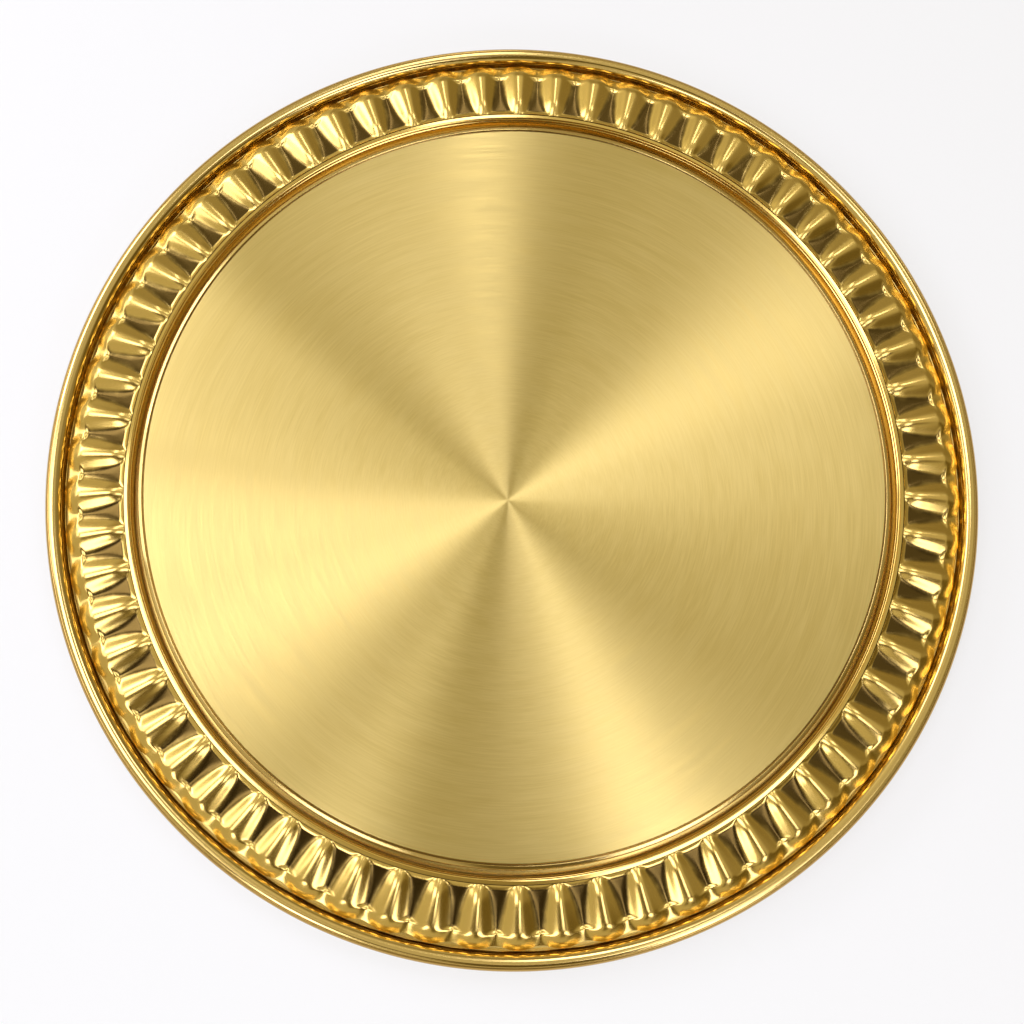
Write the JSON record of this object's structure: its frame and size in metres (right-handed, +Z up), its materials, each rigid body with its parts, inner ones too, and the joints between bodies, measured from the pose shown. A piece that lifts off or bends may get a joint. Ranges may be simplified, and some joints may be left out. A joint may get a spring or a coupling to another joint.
{
  "type": "thali",
  "caption": "Round brass serving plate: flat floor brushed in circles, polished gadroon border, rolled wired rim and a low foot ring.",
  "frame": {"origin": "centre of the foot ring's resting face, on the plate's axis", "axes": "+Z up along the plate's axis; +X and +Y in the plate's plane, +Y away from the viewer of the picture"},
  "size_m": [0.3, 0.3, 0.0118],
  "materials": {
    "brushed_floor": "brushed in circles",
    "polished_border": "mirror polished",
    "rolled_rim": "polished",
    "drawn_wire": "drawn",
    "plain_back": "satin"
  },
  "bodies": {
    "root": {"floor_disc": "brushed_floor", "inner_bead_ring": "polished_border", "gadroon_border": "polished_border", "rim_hoop": "rolled_rim", "rim_wire": "drawn_wire", "base_pan": "plain_back", "foot_ring": "plain_back"}
  },
  "joints": []
}
